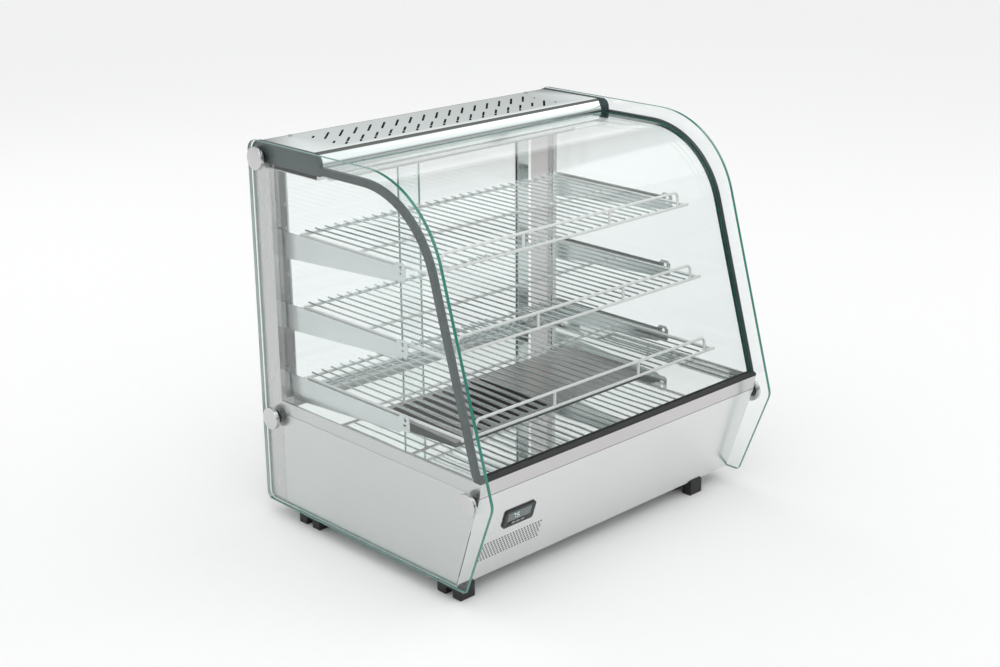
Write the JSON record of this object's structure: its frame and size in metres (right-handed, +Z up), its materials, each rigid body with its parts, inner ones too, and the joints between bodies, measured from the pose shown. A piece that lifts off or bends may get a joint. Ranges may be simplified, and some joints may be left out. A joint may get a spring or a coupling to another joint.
{
  "type": "bakery display case",
  "caption": "Heated countertop display case with a bent glass front, wire shelves on side brackets and two sliding glass doors at the back.",
  "frame": {"origin": "middle of the footprint, on the counter under the feet", "axes": "+Z up, -Y towards the customer (the bent glass), +X to the right seen from the customer's side"},
  "size_m": [0.708, 0.574, 0.671],
  "materials": {
    "side_glass": "clear, teal at the cut edges",
    "front_glass": "clear, bent",
    "door_glass": "clear",
    "edge_strip": "satin black",
    "gasket": "matte black",
    "cap_end": "satin black",
    "cap_steel": "fine brushed, nearly mirror",
    "liner_steel": "polished",
    "lamp_cover": "frosted",
    "plate_steel": "plain sheet",
    "panel_steel": "fine brushed",
    "deck_steel": "polished",
    "cover_steel": "satin",
    "post_steel": "fine brushed",
    "track_plastic": "satin",
    "handle_metal": "polished",
    "bracket_steel": "satin",
    "wire_chrome": "bright wire",
    "foot_plastic": "matte black",
    "button_chrome": "satin chrome",
    "washer_rubber": "matte black",
    "screw_steel": "plain",
    "controller_plastic": "satin black",
    "display_lens": "tinted, glossy",
    "key_plastic": "satin grey",
    "switch_plastic": "black",
    "rocker_plastic": "black",
    "gland_plastic": "black",
    "heater_steel": "heat darkened",
    "motor_metal": "grey enamel",
    "fan_aluminium": "plain",
    "terminal_plastic": "white nylon",
    "cutout_ceramic": "cream"
  },
  "bodies": {
    "case": {"side_glass_left": "side_glass", "side_glass_right": "side_glass", "front_glass": "front_glass", "edge_strip_left": "edge_strip", "edge_strip_right": "edge_strip", "front_gasket": "gasket", "cap_end_left": "cap_end", "cap_end_right": "cap_end", "cap_top": "cap_steel", "cap_liner": "liner_steel", "lamp_strip": "lamp_cover", "bottom_plate": "plate_steel", "air_duct": "plate_steel", "front_panel": "panel_steel", "side_panel_left": "panel_steel", "side_panel_right": "panel_steel", "rear_panel": "panel_steel", "deck_tray": "deck_steel", "heater_cover": "cover_steel", "rear_post_left": "post_steel", "rear_post_right": "post_steel", "shelf_standard_left": "post_steel", "shelf_standard_right": "post_steel", "door_track_top": "track_plastic", "door_track_bottom": "track_plastic", "bracket_left_top": "bracket_steel", "bracket_left_middle": "bracket_steel", "bracket_left_bottom": "bracket_steel", "bracket_right_top": "bracket_steel", "bracket_right_middle": "bracket_steel", "bracket_right_bottom": "bracket_steel", "foot_front_left": "foot_plastic", "foot_front_right": "foot_plastic", "foot_rear_left": "foot_plastic", "foot_rear_right": "foot_plastic", "standoff_buttons": "button_chrome", "standoff_washers": "washer_rubber", "cover_screws": "screw_steel", "controller_body": "controller_plastic", "display_lens": "display_lens", "power_switch_body": "switch_plastic", "lamp_switch_body": "switch_plastic", "cable_gland": "gland_plastic", "heater_element": "heater_steel", "fan_motor": "motor_metal", "terminal_block": "terminal_plastic", "thermal_cutout": "cutout_ceramic"},
    "door_right": {"door_glass_right": "door_glass", "door_handle_right": "handle_metal"},
    "door_left": {"door_glass_left": "door_glass", "door_handle_left": "handle_metal"},
    "fan": {"fan_blade": "fan_aluminium"},
    "power_rocker": {"power_switch_rocker": "rocker_plastic"},
    "lamp_rocker": {"lamp_switch_rocker": "rocker_plastic"},
    "set_key": {"key_set": "key_plastic"},
    "up_key": {"key_up": "key_plastic"},
    "down_key": {"key_down": "key_plastic"},
    "top_shelf": {"shelf_top": "wire_chrome"},
    "middle_shelf": {"shelf_middle": "wire_chrome"},
    "bottom_shelf": {"shelf_bottom": "wire_chrome"}
  },
  "joints": [
    {"name": "door_right_slide", "type": "slide", "parent": "case", "child": "door_right", "axis": [-1, 0, 0], "range_m": [-0.0395, 0.261]},
    {"name": "door_left_slide", "type": "slide", "parent": "case", "child": "door_left", "axis": [1, 0, 0], "range_m": [0, 0.301]},
    {"name": "fan_spin", "type": "hinge", "parent": "case", "child": "fan", "pos_m": [0.136, 0, 0.124], "axis": [0, 0, 1], "continuous": true},
    {"name": "power_rocker_press", "type": "hinge", "parent": "case", "child": "power_rocker", "pos_m": [0.18, 0.275, 0.12], "axis": [1, 0, 0], "range_deg": [-20, 0]},
    {"name": "lamp_rocker_press", "type": "hinge", "parent": "case", "child": "lamp_rocker", "pos_m": [0.214, 0.275, 0.12], "axis": [1, 0, 0], "range_deg": [-20, 0]},
    {"name": "set_key_press", "type": "slide", "parent": "case", "child": "set_key", "axis": [0, 0.9512, 0.3085], "range_m": [0, 0.0006], "stiffness_N_per_m": 300},
    {"name": "up_key_press", "type": "slide", "parent": "case", "child": "up_key", "axis": [0, 0.9512, 0.3085], "range_m": [0, 0.0006], "stiffness_N_per_m": 300},
    {"name": "down_key_press", "type": "slide", "parent": "case", "child": "down_key", "axis": [0, 0.9512, 0.3085], "range_m": [0, 0.0006], "stiffness_N_per_m": 300},
    {"name": "top_shelf_lift", "type": "slide", "parent": "case", "child": "top_shelf", "axis": [0, 0, 1], "range_m": [0, 0.03]},
    {"name": "middle_shelf_lift", "type": "slide", "parent": "case", "child": "middle_shelf", "axis": [0, 0, 1], "range_m": [0, 0.03]},
    {"name": "bottom_shelf_lift", "type": "slide", "parent": "case", "child": "bottom_shelf", "axis": [0, 0, 1], "range_m": [0, 0.03]}
  ]
}
